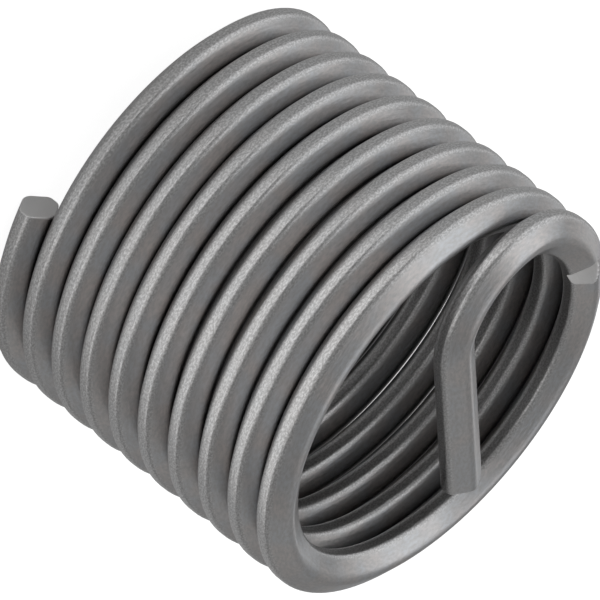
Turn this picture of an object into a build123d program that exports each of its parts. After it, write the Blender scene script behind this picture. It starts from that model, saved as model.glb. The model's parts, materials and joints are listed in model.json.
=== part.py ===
import os
from math import cos, pi, radians, sin, tan

from build123d import *
from build123d import SkipClean

# A free-running thread insert wound from one length of diamond-section stainless wire.
# It stands on its plain end: the coil's axis is +Z and the tang end is on top.
# All lengths are in millimetres, all angles in degrees about +Z, counted from +X.

# --- the coil, in its free state ---------------------------------------------------
OUTER_DIA = 16.60        # over the outer lands, before it is wound into its hole
PITCH = 1.45             # from one turn to the next
START_ANGLE = 50.0       # where the plain end of the wire is cut
BEND_ANGLE = 311.5       # where the wire leaves the coil and turns inwards
FULL_TURNS = 9           # whole turns between those two angles, on top of the part turn

# --- the wire: a diamond with a land on its outer and its inner point ---------------
WIRE_DEPTH = 1.68        # radially, from the outer land to the inner land
LAND = 0.46              # along the axis, the same outside and inside
WIRE_WIDTH = 1.26        # along the axis, over the two side points
SIDE_FLAT = 0.44         # radially: rolling leaves the side points this blunt

# --- the tang -----------------------------------------------------------------------
BEND_RADIUS = 2.67       # to the middle of the wire
BEND_RISE = 0.16         # the wire goes on climbing through the bend
TANG_END_X = -4.90       # where the tang is cut off
TANG_CUT_LEAN = 8.0      # the cut isn't quite square to the tang

# --- the notch the tang breaks at ----------------------------------------------------
NOTCH_ANGLE = 284.5
NOTCH_DEPTH = 0.47       # below the wire's front side
NOTCH_HALF_ANGLE = 40.0
NOTCH_TURN = 12.0        # the notch's line against the radius

# --- the plain end of the wire is sheared a little askew ------------------------------
START_CUT_LEAN = 14.0    # the inner side stays the longer one

# --- the radii of the coil, and the rise of a flank along the axis per millimetre of depth ---
OUTER_R = OUTER_DIA / 2
INNER_R = OUTER_R - WIRE_DEPTH
WIRE_R = OUTER_R - WIRE_DEPTH / 2
FLANK_SLOPE = (WIRE_WIDTH - LAND) / (WIRE_DEPTH - SIDE_FLAT)

# --- heights of the wire's middle; the sheared plain end touches z = 0 ------------------
CUT_BACK = (WIRE_DEPTH - SIDE_FLAT) / 2 * tan(radians(START_CUT_LEAN))
FIRST_Z = WIRE_WIDTH / 2 - PITCH * CUT_BACK / (2 * pi * (WIRE_R - SIDE_FLAT / 2))
TURN_ANGLE = 360 * FULL_TURNS + BEND_ANGLE - START_ANGLE
LAST_Z = FIRST_Z + PITCH * TURN_ANGLE / 360
TANG_Z = LAST_Z + BEND_RISE

# --- the coil is built in equal lengths of under a quarter turn --------------------------
PIECES = 40
PIECE_ANGLE = TURN_ANGLE / PIECES
TANG_PIECES = 3          # this many lie beside the tang, past the reach of a bolt
LEAD = 5.0               # a length is first swept this many degrees too long at each end
EXTRA = 0.12             # and this much too deep over each land

# --- cutters ---------------------------------------------------------------------------------
CUTTER = 4.0             # every cutter is wider than the wire is deep
SPARE = 1.0              # wire beyond a cut, which the cutter takes away


def ray(angle, length):
    return Vector(length * cos(radians(angle)), length * sin(radians(angle)), 0)


def wire_section(plane, extra=0.0):
    """The wire's section, x outwards along the depth and y up, centred on the plane's origin."""
    half_depth = WIRE_DEPTH / 2 + extra
    half_land = LAND / 2 - extra * FLANK_SLOPE
    half_flat = SIDE_FLAT / 2
    half_width = WIRE_WIDTH / 2
    with BuildSketch(plane) as sketch:
        with BuildLine():
            Polyline(
                (half_depth, -half_land), (half_depth, half_land),
                (half_flat, half_width), (-half_flat, half_width),
                (-half_depth, half_land), (-half_depth, -half_land),
                (-half_flat, -half_width), (half_flat, -half_width),
                close=True,
            )
        make_face()
    return sketch.sketch


def section_plane(angle, centre, radius):
    """The upright plane through a turning centre at this angle: x along the radius, y up."""
    return Plane(origin=centre + ray(angle, radius), x_dir=ray(angle, 1), z_dir=-ray(angle + 90, 1))


# One piece of the coil, the hardest shape here. The wire is swept along the screw line too
# deep and too long, then turned down to its two land cylinders and cut off square.
with BuildPart() as piece:
    with BuildLine():
        Helix(
            pitch=PITCH,
            height=PITCH * (PIECE_ANGLE + 2 * LEAD) / 360,
            radius=WIRE_R,
            center=(0, 0, -PITCH * LEAD / 360),
        )
    add(wire_section(section_plane(0, Vector(0, 0, -PITCH * LEAD / 360), WIRE_R), EXTRA))
    sweep(is_frenet=True)
    with BuildSketch(Plane.XY.offset(-2 * PITCH)):
        with BuildLine():
            CenterArc((0, 0), OUTER_R, LEAD, PIECE_ANGLE)
            CenterArc((0, 0), INNER_R, LEAD, PIECE_ANGLE)
            for angle in (LEAD, LEAD + PIECE_ANGLE):
                Line(ray(angle, INNER_R), ray(angle, OUTER_R))
        make_face()
    extrude(amount=4 * PITCH, mode=Mode.INTERSECT)

# The last stretch, beside the tang, is swept to size and keeps the drawn wire's own lands.
TANG_STRETCH = PIECE_ANGLE * TANG_PIECES
with BuildPart() as last_stretch:
    with BuildLine():
        Helix(pitch=PITCH, height=PITCH * TANG_STRETCH / 360, radius=WIRE_R)
    add(wire_section(section_plane(0, Vector(0, 0, 0), WIRE_R)))
    sweep(is_frenet=True)

# The bend goes round its own centre inside the coil, climbing as the coil did, until the wire
# points along -X. The tang then runs straight and level across the bore.
BEND_CENTRE = ray(BEND_ANGLE, WIRE_R - BEND_RADIUS)
BEND_TURN = 450 - BEND_ANGLE
with BuildPart() as bend:
    with BuildLine():
        Helix(pitch=BEND_RISE * 360 / BEND_TURN, height=BEND_RISE, radius=BEND_RADIUS)
    add(wire_section(section_plane(0, Vector(0, 0, 0), BEND_RADIUS)))
    sweep(is_frenet=True)

TANG_START = BEND_CENTRE + ray(90, BEND_RADIUS) + Vector(0, 0, TANG_Z)
with BuildPart() as tang:
    square = wire_section(Plane(origin=TANG_START, x_dir=(0, 1, 0), z_dir=(-1, 0, 0)))
    extrude(square.face(), amount=TANG_START.X - TANG_END_X + SPARE, dir=(-1, 0, 0))
    with Locations(Location((TANG_END_X, TANG_START.Y, TANG_Z), (0, 0, -TANG_CUT_LEAN))):
        Box(
            CUTTER, CUTTER, CUTTER,
            align=(Align.MAX, Align.CENTER, Align.CENTER), mode=Mode.SUBTRACT,
        )

with SkipClean():
    with BuildPart() as thread_insert:
        add(
            [
                Pos(0, 0, FIRST_Z + PITCH * PIECE_ANGLE * k / 360)
                * Rot(0, 0, START_ANGLE - LEAD + PIECE_ANGLE * k)
                * piece.part
                for k in range(PIECES - TANG_PIECES)
            ],
            clean=False,
        )
        stretch_start = Vector(0, 0, LAST_Z - PITCH * TANG_STRETCH / 360)
        add(Pos(*stretch_start) * Rot(0, 0, BEND_ANGLE - TANG_STRETCH) * last_stretch.part, clean=False)
        add(Pos(*(BEND_CENTRE + Vector(0, 0, LAST_Z))) * Rot(0, 0, BEND_ANGLE) * bend.part, clean=False)
        add(tang.part, clean=False)

        # The plain end is sheared off; the cutter is low enough to pass under the second turn.
        cutter_height = (WIRE_WIDTH + PITCH) / 2
        foot = ray(START_ANGLE, INNER_R) + Vector(0, 0, FIRST_Z)
        with Locations(Location(foot, (0, 0, START_ANGLE + START_CUT_LEAN))):
            Box(
                CUTTER, SPARE, cutter_height,
                align=(Align.CENTER, Align.MAX, Align.CENTER), mode=Mode.SUBTRACT,
            )

        # The notch is a V across the wire's front side, in the last turn before the bend.
        notch_z = LAST_Z - PITCH * (BEND_ANGLE - NOTCH_ANGLE) / 360 + WIRE_WIDTH / 2 - NOTCH_DEPTH
        across = ray(NOTCH_ANGLE + NOTCH_TURN, 1)
        notch_start = ray(NOTCH_ANGLE, WIRE_R) + Vector(0, 0, notch_z) - across * CUTTER / 2
        along = ray(NOTCH_ANGLE + NOTCH_TURN + 90, 1)
        half_open = CUTTER / 2 * tan(radians(NOTCH_HALF_ANGLE))
        with BuildSketch(Plane(origin=notch_start, x_dir=along, z_dir=across)):
            with BuildLine():
                Polyline((0, 0), (half_open, CUTTER / 2), (-half_open, CUTTER / 2), close=True)
            make_face()
        extrude(amount=CUTTER, mode=Mode.SUBTRACT)

thread_insert.part.label = "thread_insert"
os.makedirs("parts", exist_ok=True)
export_step(thread_insert.part, "parts/thread_insert.step")
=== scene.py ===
# %% [markdown]
# # A helical thread insert in drawn stainless wire
# The insert lines a tapped hole. It is one length of wire with a diamond section: the outer
# points of the coil make a thread that fits the hole, and the inner points make a smaller
# thread that fits the bolt. At the top the wire turns in across the bore as a tang, which the
# winding tool drives, and a notch beside it lets the tang be knocked off afterwards.
# This script winds the same wire again with its rounded corners, its ends and its slightly
# uneven turns, gives it the drawn steel finish, and sets up floor, light and camera.

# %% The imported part
import json

import bpy
import numpy as np
from mathutils import Matrix, Vector


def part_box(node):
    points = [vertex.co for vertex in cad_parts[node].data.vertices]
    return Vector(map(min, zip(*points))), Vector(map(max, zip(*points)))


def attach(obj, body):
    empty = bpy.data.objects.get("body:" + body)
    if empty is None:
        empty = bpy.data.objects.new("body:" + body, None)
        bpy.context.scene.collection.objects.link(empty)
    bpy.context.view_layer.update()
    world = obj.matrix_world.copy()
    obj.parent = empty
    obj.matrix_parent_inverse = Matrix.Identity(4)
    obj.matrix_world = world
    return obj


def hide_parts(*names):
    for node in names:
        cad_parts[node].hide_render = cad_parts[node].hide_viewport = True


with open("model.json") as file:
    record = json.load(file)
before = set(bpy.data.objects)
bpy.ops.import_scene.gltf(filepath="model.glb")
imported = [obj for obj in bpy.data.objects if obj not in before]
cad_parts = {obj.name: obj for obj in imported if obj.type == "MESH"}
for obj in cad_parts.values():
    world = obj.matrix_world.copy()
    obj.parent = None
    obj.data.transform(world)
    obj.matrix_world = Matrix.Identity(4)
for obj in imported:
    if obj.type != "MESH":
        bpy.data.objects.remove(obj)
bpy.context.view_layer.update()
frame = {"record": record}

MM = 0.001
mounts = {mount["name"]: mount["dims"] for mount in frame["record"]["mounts"]}
OUTER_R = mounts["external_thread"]["r_mm"] * MM
INNER_R = mounts["internal_thread"]["r_mm"] * MM
print("coil radius outside", OUTER_R, "and inside", INNER_R)

# %% [markdown]
# ## The coil
# A thread insert is wound a little larger than its hole, with its turns almost touching. Its
# lengths are in metres and its angles in degrees about the coil's axis, so that it lies where
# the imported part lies. Its wire is made 0.12 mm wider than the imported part's, because with
# rounded side points the narrower wire lets white light through between the turns.

# %% The coil's sizes
START_ANGLE = 50.0         # where the plain end is cut
BEND_ANGLE = 311.5         # where the wire leaves the coil
FULL_TURNS = 9
WIRE_DEPTH = OUTER_R - INNER_R
WIRE_R = (OUTER_R + INNER_R) / 2
WIRE_WIDTH = 1.38 * MM     # along the axis, over the rounded side points
BEND_RISE = 0.16 * MM      # the wire goes on climbing through the bend
START_LEAN = 14.0          # the plain end is sheared askew, its inner side the longer one
TURNS = FULL_TURNS + (BEND_ANGLE - START_ANGLE) / 360
COIL_LENGTH = 2 * np.pi * WIRE_R * TURNS
lowest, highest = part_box("thread_insert")
FIRST_Z = lowest.z + WIRE_WIDTH / 2
LAST_Z = highest.z - WIRE_WIDTH / 2 - BEND_RISE
PITCH = (LAST_Z - FIRST_Z) / TURNS
print("turns", TURNS, "pitch", PITCH, "wire in the coil", COIL_LENGTH)

# %% [markdown]
# ## The wire's section
# The wire's section is a diamond. It has a small flat, the land, on its outer and its inner
# point, and its side points are broad and round. The outline is a six-cornered polygon with
# every corner made an arc, which is how a draughtsman would dimension it.

# %% The rounded outline of the wire
FLANK_ANGLE = np.radians(33)   # a little blunter than the 30 of the thread itself
SIDE_ROUND = 0.45 * MM
LAND_ROUND = 0.26 * MM
ARC_STEPS = 6
FLAT_POINTS = 4                # between two arcs
ROUND_LOSS = SIDE_ROUND * (1 / np.cos(FLANK_ANGLE) - 1)
POINT_HEIGHT = WIRE_WIDTH / 2 + ROUND_LOSS
LAND_HALF = POINT_HEIGHT - WIRE_DEPTH / 2 * np.tan(FLANK_ANGLE)


def unit(vectors):
    """Every vector divided by its own length."""
    return vectors / np.linalg.norm(vectors, axis=-1, keepdims=True)


def rounded_outline(corners, radii):
    """Each corner becomes an arc of its radius r. With u and w the directions to the two
    neighbours and h half the angle between them, the arc's centre lies r / sin(h) from the
    corner along their middle m, and its points are centre + r (k sin t - m cos t), where k
    runs from u to w and t goes from h - 90 to 90 - h degrees. Points at even steps join one
    arc to the next."""
    u = unit(np.roll(corners, 1, axis=0) - corners)
    w = unit(np.roll(corners, -1, axis=0) - corners)
    half = np.arccos((u * w).sum(axis=1)) / 2
    middle, across = unit(u + w), unit(w - u)
    centre = corners + middle * (radii / np.sin(half))[:, None]
    t = (np.pi / 2 - half)[:, None] * np.linspace(-1, 1, ARC_STEPS + 1)
    turned = across[:, None] * np.sin(t)[..., None] - middle[:, None] * np.cos(t)[..., None]
    arcs = centre[:, None] + radii[:, None, None] * turned
    share = np.linspace(0, 1, FLAT_POINTS + 2)[1:-1, None]
    ends, starts = arcs[:, -1], np.roll(arcs[:, 0], -1, axis=0)
    flats = ends[:, None] * (1 - share) + starts[:, None] * share
    return np.concatenate([arcs, flats], axis=1).reshape(-1, 2)


corners = np.array([
    (0, -POINT_HEIGHT),
    (WIRE_DEPTH / 2, -LAND_HALF), (WIRE_DEPTH / 2, LAND_HALF),
    (0, POINT_HEIGHT),
    (-WIRE_DEPTH / 2, LAND_HALF), (-WIRE_DEPTH / 2, -LAND_HALF),
])
section = rounded_outline(corners, np.array([SIDE_ROUND, LAND_ROUND, LAND_ROUND] * 2))
out, up = section.T
around = np.r_[0, np.cumsum(np.hypot(*(np.roll(section, -1, axis=0) - section).T))]
print("section points", len(section), "girth", around[-1], "land", 2 * LAND_HALF)

# %% [markdown]
# ## The way of the wire
# The wire's middle line has three stretches: the coil, a tight bend of its own centre inside
# the coil, and the straight tang. The wire goes on climbing a little through the bend.
# The turns of a wound wire don't lie quite evenly. A slow wave runs along the coil and fades
# at both ends. It carries a few turns a little below their even places and the next ones a
# little above, and it is low enough that no turn touches the one beside it.

# %% The bend, the tang and the uneven turns
BEND_RADIUS = 2.95 * MM
TANG_WAY = 182.8           # which way the tang runs, a little past straight across
TANG_LENGTH = 7.95 * MM
TANG_LEAN = 8.0            # of the sheared end
WAVE_HEIGHT = 0.065 * MM
WAVE_START = 2.2           # the turn from which the next ones lie below their even places
WAVE_TURNS = 8.5           # from one crest to the next


def ray(angle):
    """The direction (cos a, sin a) of an angle in degrees."""
    return np.stack([np.cos(np.radians(angle)), np.sin(np.radians(angle))], axis=-1)


BEND_CENTRE = ray(BEND_ANGLE) * (WIRE_R - BEND_RADIUS)
BEND_END = TANG_WAY + 270
BEND_TURN = BEND_END - BEND_ANGLE
BEND_LENGTH = np.radians(BEND_TURN) * BEND_RADIUS
WIRE_LENGTH = COIL_LENGTH + BEND_LENGTH + TANG_LENGTH


def turn_lift(turn):
    """How far a turn lies above its even place. It is
    WAVE_HEIGHT sin(2 pi (WAVE_START - turn) / WAVE_TURNS), faded by sin(pi turn / TURNS)."""
    wave = np.sin(2 * np.pi * (WAVE_START - turn) / WAVE_TURNS)
    return WAVE_HEIGHT * wave * np.sin(np.pi * turn / TURNS)


def wire_point(along, out, up):
    """The place of a point of the wire from its way along the middle line and its place in
    the section. On the coil it is (R + out) ray(a) at the height PITCH a / 360 + lift + up,
    in the bend the same about the bend's centre with a height that eases from the coil's
    slope to level, and the tang goes straight on from there."""
    along, out, up = np.broadcast_arrays(along, out, up)
    turn = along / (2 * np.pi * WIRE_R)
    coil_xy = (WIRE_R + out)[..., None] * ray(START_ANGLE + 360 * turn)
    coil_z = FIRST_Z + PITCH * turn + turn_lift(turn) + up
    f = np.clip((along - COIL_LENGTH) / BEND_LENGTH, 0, 1)
    bend_xy = BEND_CENTRE + (BEND_RADIUS + out)[..., None] * ray(BEND_ANGLE + BEND_TURN * f)
    slope = PITCH / (2 * np.pi * WIRE_R) * BEND_LENGTH
    bend_z = LAST_Z + BEND_RISE * f**2 * (3 - 2 * f) + slope * f * (1 - f) ** 2 + up
    past = np.maximum(along - COIL_LENGTH - BEND_LENGTH, 0)
    tang_xy = bend_xy + past[..., None] * ray(TANG_WAY)
    xy = np.where((along < COIL_LENGTH)[..., None], coil_xy, tang_xy)
    z = np.where(along < COIL_LENGTH, coil_z, bend_z)
    return np.concatenate([xy, z[..., None]], axis=-1)


print("wire length", WIRE_LENGTH, "tang length", TANG_LENGTH)

# %% [markdown]
# ## Where the rows of the surface lie
# The surface is a grid: one row of section points after another along the wire. Three
# degrees between rows look round, a fiftieth of a millimetre between them shapes the notch,
# and six rows at each end turn the sheared edge over its small radius.

# %% The rows and the two sheared ends
EDGE_ROUND = 0.08 * MM
EDGE_ROWS = 6
ROW_STEP = np.radians(3) * WIRE_R
BEND_STEP = np.radians(5) * BEND_RADIUS
NOTCH_ANGLE = 282.9
NOTCH_DEPTH = 0.62 * MM    # below the wire's front side, at the inner land
NOTCH_CLIMB = 0.40         # of its floor, for each length towards the outer land
NOTCH_WALLS = 40.0, 72.0   # of its two walls against upright, the tang's side first
NOTCH_NOSE = 0.05 * MM     # the V's bottom isn't quite sharp
NOTCH_TURN = 4.0           # of the V's line against the radius
NOTCH_REACH = 1.30 * MM    # of the fine rows to either side of it
NOTCH_STEP = 0.02 * MM
notch_along = COIL_LENGTH - np.radians(BEND_ANGLE - NOTCH_ANGLE) * WIRE_R


def stretch(start, end, step):
    """Even rows from start up to, but without, end."""
    return np.linspace(start, end, int(np.ceil((end - start) / step)), endpoint=False)


quarter = np.radians(np.linspace(0, 90, EDGE_ROWS))
edge_along = EDGE_ROUND * (1 - np.cos(quarter))
edge_inset = EDGE_ROUND * (1 - np.sin(quarter))
body = np.concatenate([
    stretch(EDGE_ROUND, notch_along - NOTCH_REACH, ROW_STEP)[1:],
    stretch(notch_along - NOTCH_REACH, notch_along + NOTCH_REACH, NOTCH_STEP),
    stretch(notch_along + NOTCH_REACH, COIL_LENGTH, ROW_STEP),
    stretch(COIL_LENGTH, COIL_LENGTH + BEND_LENGTH, BEND_STEP),
    stretch(COIL_LENGTH + BEND_LENGTH, WIRE_LENGTH - EDGE_ROUND, ROW_STEP),
])
along = np.r_[edge_along, body, WIRE_LENGTH - edge_along[::-1]][:, None]
inset = np.r_[edge_inset, 0 * body, edge_inset[::-1]][:, None]

FADE = 1.2 * MM            # the shear of an end dies out over this much wire
lead = (out + WIRE_DEPTH / 2) * np.tan(np.radians(START_LEAN)) * WIRE_R / (WIRE_R + out)
tail = -out * np.tan(np.radians(TANG_LEAN))
sheared = along + lead * np.clip(1 - along / FADE, 0, 1)
sheared = sheared + tail * np.clip(1 - (WIRE_LENGTH - along) / FADE, 0, 1)
points = wire_point(
    sheared, out * (1 - inset / (WIRE_DEPTH / 2)), up * (1 - inset / (WIRE_WIDTH / 2))
)
print("rows", len(along), "points", points.shape)

# %% [markdown]
# ## The notch
# The notch is an open V in the front of the wire, just before the bend, so that the tang
# breaks off cleanly. The V's floor climbs outwards from the bore and comes out before the
# outer land. Every point that stands above the V is lowered onto it, which leaves the two
# faces of the cut.

# %% Lowering the points into the notch
notch_at = ray(NOTCH_ANGLE) * WIRE_R
notch_floor = (
    LAST_Z - PITCH * (BEND_ANGLE - NOTCH_ANGLE) / 360 + WIRE_WIDTH / 2 - NOTCH_DEPTH
)
notch_side = (points[..., :2] - notch_at) @ ray(NOTCH_ANGLE + NOTCH_TURN + 90)
floor_here = notch_floor + NOTCH_CLIMB * (out + WIRE_DEPTH / 2)
wall = np.hypot(notch_side, NOTCH_NOSE) - NOTCH_NOSE
lean = np.where(notch_side > 0, *np.radians(NOTCH_WALLS))
cut = floor_here + wall / np.tan(lean)
near = np.abs(along - notch_along) < 2 * NOTCH_REACH
lowered = near & (points[..., 2] > cut)
points[..., 2] = np.where(lowered, cut, points[..., 2])
print("points in the notch", int(lowered.sum()))

# %% [markdown]
# ## What each point knows about its place
# The finish differs over the wire. The lands are pitted, and the cuts show bright fresh metal,
# which is lightened further as painted light: a painted glint towards the bore in the notch, and
# sheared ends kept from mirroring the shaded floor. Deep between two turns, about the side
# points, the colour is darkened as painted shade for the light that doesn't get in. The first
# turn has no neighbour below it and the last none above it, so those sides get no painted shade.
# Each point carries the numbers that say so.

# %% The marks on the points
ONE_TURN = 2 * np.pi * WIRE_R
everywhere = np.ones(points.shape[:2])
from_side = np.abs(out) / MM * everywhere
# Painted shade goes only on the sides that face a neighbouring turn.
shaded_by_neighbour = np.where(up > 0, along < COIL_LENGTH - ONE_TURN, along > ONE_TURN) * everywhere
# Fresh metal on the cuts and the sheared ends, made brighter still as painted light: a painted
# glint towards the bore in the notch, and ends kept from mirroring the shaded floor.
LEAST_FRESH_AND_LIT = 0.6          # how bright a cut is away from the bore
glint_towards_bore = np.clip(0.5 - out / WIRE_DEPTH, LEAST_FRESH_AND_LIT, 1)
fresh_cut_and_painted_light = np.where(lowered, glint_towards_bore, LEAST_FRESH_AND_LIT * (inset > 0))
marks = {"from_side": from_side, "shaded_by_neighbour": shaded_by_neighbour, "fresh_cut_and_painted_light": fresh_cut_and_painted_light}
print("share sheltered", shaded_by_neighbour.mean(), "points of fresh metal", int((fresh_cut_and_painted_light > 0).sum()))

# %% [markdown]
# ## From a grid to a piece
# The grid closes on itself around the section, and one flat face closes each end. The UV map
# holds the real lengths along and around the wire, so that drawing marks can follow it.


# %% The wire's mesh
def wire_mesh(name, points, along, around, marks):
    """Face (i, j) joins the points (i, j), (i+1, j), (i+1, j+1) and (i, j+1), where j goes
    round and comes back to 0. Its corners' UV is (along, around) in millimetres. Every mark is
    a number for each point, which the finish can read by its name."""
    rows, columns = points.shape[:2]
    i, j = np.mgrid[0 : rows - 1, 0:columns]
    steps = ((0, 0), (1, 0), (1, 1), (0, 1))
    quads = np.stack([(i + a) * columns + (j + b) % columns for a, b in steps], axis=-1)
    first = np.arange(columns)
    last = first[::-1] + (rows - 1) * columns
    faces = [*quads.reshape(-1, 4).tolist(), first.tolist(), last.tolist()]
    mesh = bpy.data.meshes.new(name)
    mesh.from_pydata(points.reshape(-1, 3), [], faces)
    smooth = np.ones(len(faces), bool)
    smooth[-2:] = False
    mesh.polygons.foreach_set("use_smooth", smooth)
    uv = np.stack([
        np.stack([along[i + a, 0], around[j + b]], axis=-1) for a, b in steps
    ], axis=2)
    flat_ends = np.tile([(along[0, 0], 0), (along[-1, 0], 0)], (1, columns)).reshape(-1, 2)
    layer = mesh.uv_layers.new(name="drawn")
    layer.data.foreach_set("uv", np.r_[uv.reshape(-1, 2), flat_ends].ravel() / MM)
    for mark, share in marks.items():
        attribute = mesh.attributes.new(mark, "FLOAT", "POINT")
        attribute.data.foreach_set("value", share.astype(np.float32).ravel())
    mesh.update()
    piece = bpy.data.objects.new(name, mesh)
    bpy.context.scene.collection.objects.link(piece)
    return piece


wire = wire_mesh("coil_wire", points, along, around, marks)
print("faces", len(wire.data.polygons))

# %% [markdown]
# ## Writing shader formulas
# A finish is a formula of the place on the wire. This class lets the formula be written with
# ordinary signs, and adds the node that each sign stands for.


# %% Sockets that can be reckoned with
class Socket:
    """One output in a node tree."""

    def __init__(self, tree, output=None):
        self.tree, self.output = tree, output

    def new(self, kind, settings=None, values=None, output=0):
        """A node of any kind, with its settings and its input values; returns one output."""
        node = self.tree.nodes.new(kind)
        for name, setting in (settings or {}).items():
            setattr(node, name, setting)
        for key, value in (values or {}).items():
            if isinstance(value, Socket):
                self.tree.links.new(value.output, node.inputs[key])
            else:
                node.inputs[key].default_value = value
        return Socket(self.tree, node.outputs[output]) if node.outputs else None

    def math(self, operation, first, second):
        values = {0: first, 1: second}
        return self.new("ShaderNodeMath", {"operation": operation}, values)

    def __add__(self, other):
        return self.math("ADD", self, other)

    def __rsub__(self, other):
        return self.math("SUBTRACT", other, self)

    def __mul__(self, other):
        return self.math("MULTIPLY", self, other)

    __radd__ = __add__

    def ease(self, start, end):
        """0 up to start, 1 from end on, and a smooth rise between them."""
        values = {"Value": self, "From Min": start, "From Max": end}
        return self.new("ShaderNodeMapRange", {"interpolation_type": "SMOOTHSTEP"}, values)

    def blend(self, first, second):
        """The first colour where this is 0, the second where it is 1."""
        values = {0: self, 6: first, 7: second}
        return self.new("ShaderNodeMix", {"data_type": "RGBA"}, values, output=2)

    def stretched(self, x, y, z=1.0):
        """A place with its three numbers multiplied."""
        return self.new("ShaderNodeVectorMath", {"operation": "MULTIPLY"}, {0: self, 1: (x, y, z)})

    def noise(self, scale, detail=2.0, roughness=0.5):
        """Smooth noise about 0.5 at this place."""
        values = {"Vector": self, "Scale": scale, "Detail": detail, "Roughness": roughness}
        return self.new("ShaderNodeTexNoise", {"noise_dimensions": "3D"}, values)


def grey(level):
    return (level, level, level, 1)


# %% [markdown]
# ## Drawn stainless steel
# The wire has fine lines along its length and a satin finish, with small duller and brighter
# patches. The lines change the roughness and the slope of the surface. The patches change its
# colour a little, from a warmer to a cooler grey.

# %% The wire's finish
WARM_STEEL = (0.545, 0.512, 0.500, 1)
COOL_STEEL = (0.500, 0.512, 0.530, 1)
DULL_STEEL = (0.440, 0.434, 0.430, 1)
PIT_STEEL = (0.400, 0.396, 0.394, 1)
RUBBED_STEEL = (0.720, 0.718, 0.715, 1)
# fresh cut metal, made brighter still as painted light
FRESH_AND_LIT_STEEL = (0.960, 0.950, 0.940, 1)
# painted shade, deep between two turns
PAINTED_SHADE_COLOUR = (0.060, 0.058, 0.057, 1)
LAND_FROM, LAND_TO = 0.60, 0.82    # millimetres from the side points
THIN_FROM, THIN_TO = 0.10, 0.42    # where the thin painted shade dies out, in millimetres too
THICK_FROM, THICK_TO = 0.04, 0.14  # and the thick one
LAND_SHARE = 0.8                   # how far the lands' colour differs
THIN_SHARE, THICK_SHARE = 0.35, 0.60
ROUGH_LEAST, ROUGH_LINES, ROUGH_PATCHES = 0.24, 0.06, 0.14
RELIEF_DEPTH = 0.007 * MM
material = bpy.data.materials.new("drawn_stainless")
material.use_nodes = True
material.node_tree.nodes.clear()
steel = Socket(material.node_tree)
lengthwise = steel.new("ShaderNodeUVMap", {"uv_map": "drawn"})
place = steel.new("ShaderNodeTexCoord", output="Object")

lines = lengthwise.stretched(0.8, 7.0).noise(1.0, 2.0)
flecks = lengthwise.stretched(4.5, 9.0).noise(1.0, 3.0, 0.6)
patches = place.noise(1500.0, 3.0)
tint = place.noise(700.0, 2.0).ease(0.38, 0.62)
colour = tint.blend(WARM_STEEL, COOL_STEEL)
colour = flecks.ease(0.30, 0.70).blend(DULL_STEEL, colour)


def mark(name):
    """The number that the points carry under this name."""
    return steel.new("ShaderNodeAttribute", {"attribute_name": name}, output="Fac")


pits = lengthwise.stretched(10.0, 15.0).noise(1.0, 2.0, 0.7).ease(0.38, 0.66)
on_land = mark("from_side").ease(LAND_FROM, LAND_TO)
colour = (on_land * LAND_SHARE).blend(colour, pits.blend(PIT_STEEL, RUBBED_STEEL))
# Painted shade: the colour darkens deep between two turns, about the side points, where little
# light gets in.
thin_painted_shade = 1 - mark("from_side").ease(THIN_FROM, THIN_TO)
thick_painted_shade = 1 - mark("from_side").ease(THICK_FROM, THICK_TO)
painted_shade = mark("shaded_by_neighbour") * (thin_painted_shade * THIN_SHARE + thick_painted_shade * THICK_SHARE)
# Fresh metal on the cuts, brightened as painted light towards the bore and on the sheared ends.
colour = mark("fresh_cut_and_painted_light").blend(painted_shade.blend(colour, PAINTED_SHADE_COLOUR), FRESH_AND_LIT_STEEL)
roughness = ROUGH_LEAST + lines * ROUGH_LINES + patches * ROUGH_PATCHES
relief = lines + flecks * 0.6
normal = steel.new(
    "ShaderNodeBump", None, {"Strength": 1.0, "Distance": RELIEF_DEPTH, "Height": relief}
)
surface = steel.new("ShaderNodeBsdfPrincipled", None, {
    "Base Color": colour, "Metallic": 1.0, "Roughness": roughness, "Normal": normal,
})
steel.new("ShaderNodeOutputMaterial", None, {"Surface": surface})
wire.data.materials.append(material)

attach(wire, "root")
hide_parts("thread_insert")

# %% [markdown]
# ## Floor and light
# The insert stands on its plain end on a white sweep. Bare metal shows what is around it, so
# the room matters more than the lamps: wide soft boxes stand left and right of the camera,
# smaller ones lift the tang and the end ring from above and behind, and below the right one the
# sweep glows brighter to the metal, a pool of painted light that carries that box's brightness
# on. Everything else, camera side and ceiling, stays dim. That is what parts the bright lands
# from the dark flanks. The floor and the room are white to the camera and dimmer to the metal,
# which keeps the background clean.

# %% The floor
FLOOR_SIZE = 0.30
FLOOR_WHITE = 0.90         # what the eye sees of the sweep's own light
FLOOR_DIM = 0.14           # what the metal sees of it on the far side
FLOOR_LIT = 0.66           # and how much more than that on the lit side
FLOOR_PAPER = 0.5          # how much of the light that falls on it comes back
LIT_SIDE = 50.0            # the side on which the metal sees the sweep brighter
LIT_FROM, LIT_TO = 4 * MM, 28 * MM


def plate(name, half_size):
    """A level square sheet of this half size about the origin."""
    mesh = bpy.data.meshes.new(name)
    corner = np.array([(-1, -1, 0), (1, -1, 0), (1, 1, 0), (-1, 1, 0)]) * half_size
    mesh.from_pydata(corner, [], [(0, 1, 2, 3)])
    sheet = bpy.data.objects.new(name, mesh)
    bpy.context.scene.collection.objects.link(sheet)
    return sheet


floor = plate("floor", FLOOR_SIZE)
paper = bpy.data.materials.new("white_paper")
paper.use_nodes = True
paper.node_tree.nodes.clear()
sweep = Socket(paper.node_tree)
spot = sweep.new("ShaderNodeTexCoord", output="Object")
lit_way = (*ray(LIT_SIDE), 0)
towards_light = sweep.new(
    "ShaderNodeVectorMath", {"operation": "DOT_PRODUCT"}, {0: spot, 1: lit_way}, output="Value"
)
seen = sweep.new("ShaderNodeLightPath", output="Is Camera Ray")
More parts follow.
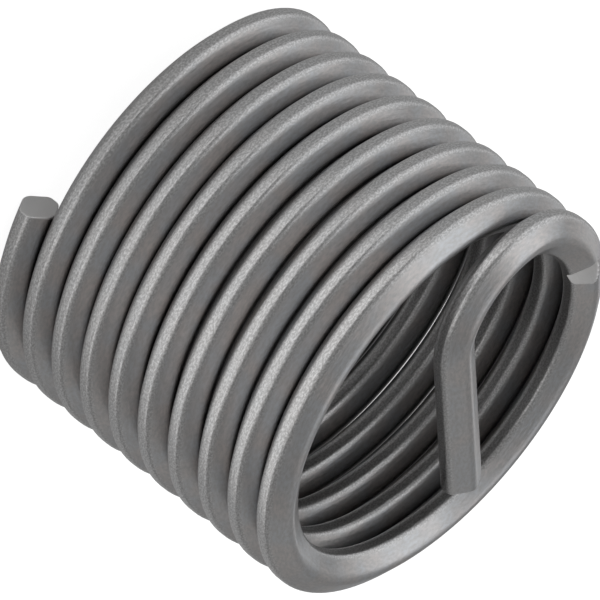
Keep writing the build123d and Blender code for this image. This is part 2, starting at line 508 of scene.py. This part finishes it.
# Painted light: to the metal the sweep glows brighter towards the lit side, a pool of light
# painted on as its own glow.
in_metal = FLOOR_DIM + towards_light.ease(LIT_FROM, LIT_TO) * FLOOR_LIT
glow_level = seen * FLOOR_WHITE + (1 - seen) * in_metal
matte = sweep.new("ShaderNodeBsdfDiffuse", None, {"Color": grey(FLOOR_PAPER)})
glow = sweep.new("ShaderNodeEmission", None, {"Color": grey(1), "Strength": glow_level})
both = sweep.new("ShaderNodeAddShader", None, {0: matte, 1: glow})
sweep.new("ShaderNodeOutputMaterial", None, {"Surface": both})
floor.data.materials.append(paper)

# %% The room
ROOM_LEVEL = 0.29          # what the metal sees; the eye sees plain white
world = bpy.data.worlds.new("room")
bpy.context.scene.world = world
world.use_nodes = True
world.node_tree.nodes.clear()
room = Socket(world.node_tree)
seen = room.new("ShaderNodeLightPath", output="Is Camera Ray")
strength = seen + (1 - seen) * ROOM_LEVEL
sky = room.new("ShaderNodeBackground", None, {"Color": grey(1), "Strength": strength})
room.new("ShaderNodeOutputWorld", None, {"Surface": sky})

# %% The soft boxes
BOX_DISTANCE = 0.5


def towards(angle, elevation):
    """The direction at this angle about +Z from +X, and this elevation above the floor."""
    return Vector((*ray(angle) * np.cos(np.radians(elevation)), np.sin(np.radians(elevation))))


def soft_box(name, angle, elevation, width, height, radiance, tint):
    """A square-cornered lamp facing the insert. An area lamp of radiance L has the power
    L pi width height."""
    lamp = bpy.data.lights.new(name, "AREA")
    lamp.shape = "RECTANGLE"
    lamp.size, lamp.size_y = width, height
    lamp.energy = radiance * np.pi * width * height
    lamp.color = tint
    box = bpy.data.objects.new(name, lamp)
    bpy.context.scene.collection.objects.link(box)
    away = towards(angle, elevation)
    box.matrix_world = (
        Matrix.Translation(away * BOX_DISTANCE) @ away.to_track_quat("Z", "Y").to_matrix().to_4x4()
    )


DAYLIGHT, COOL_LIGHT = (1.0, 0.99, 0.98), (0.97, 0.985, 1.0)
boxes = [
    # name, angle, elevation, width, height, radiance, tint
    ("right_box", 72, 14, 0.36, 0.30, 0.54, DAYLIGHT),
    ("left_box", -68, 34, 0.80, 0.72, 0.62, COOL_LIGHT),
    ("top_box", -125, 66, 0.42, 0.32, 0.52, COOL_LIGHT),
    ("low_box", -130, 8, 0.34, 0.13, 0.52, COOL_LIGHT),
    ("back_box", 171, 33, 0.26, 0.24, 0.13, DAYLIGHT),
]
for box in boxes:
    soft_box(*box)
print("soft boxes", [box[0] for box in boxes])

# %% [markdown]
# ## The camera
# The view is from far away with a long lens, so the turns stay almost parallel. The camera is
# turned about its own axis until the coil lies with its tang end to the lower right.

# %% The camera
VIEW_ANGLE = 27.5          # of the camera, about +Z from +X
VIEW_ELEVATION = 24.5
AXIS_SLOPE = -37.6         # of the coil's axis in the finished view, against level
DISTANCE = 0.40
NEAREST_SEEN = 0.01
LENS = 676.0
AIM_HEIGHT = 7.255 * MM
AIM_RIGHT = 0.338 * MM
AIM_UP = -0.335 * MM

back = towards(VIEW_ANGLE, VIEW_ELEVATION)
axis_seen = (Vector((0, 0, 1)) - back * back.z).normalized()
beside = axis_seen.cross(back)
slope = np.radians(AXIS_SLOPE)
right = axis_seen * np.cos(slope) + beside * np.sin(slope)
upward = back.cross(right)
aim = Vector((0, 0, AIM_HEIGHT)) + right * AIM_RIGHT + upward * AIM_UP
camera_data = bpy.data.cameras.new("camera")
camera_data.lens = LENS
camera_data.clip_start = NEAREST_SEEN
camera = bpy.data.objects.new("camera", camera_data)
bpy.context.scene.collection.objects.link(camera)
turned = Matrix((right, upward, back)).transposed().to_4x4()
camera.matrix_world = Matrix.Translation(aim + back * DISTANCE) @ turned
bpy.context.scene.camera = camera
bpy.context.scene.view_settings.view_transform = "Standard"
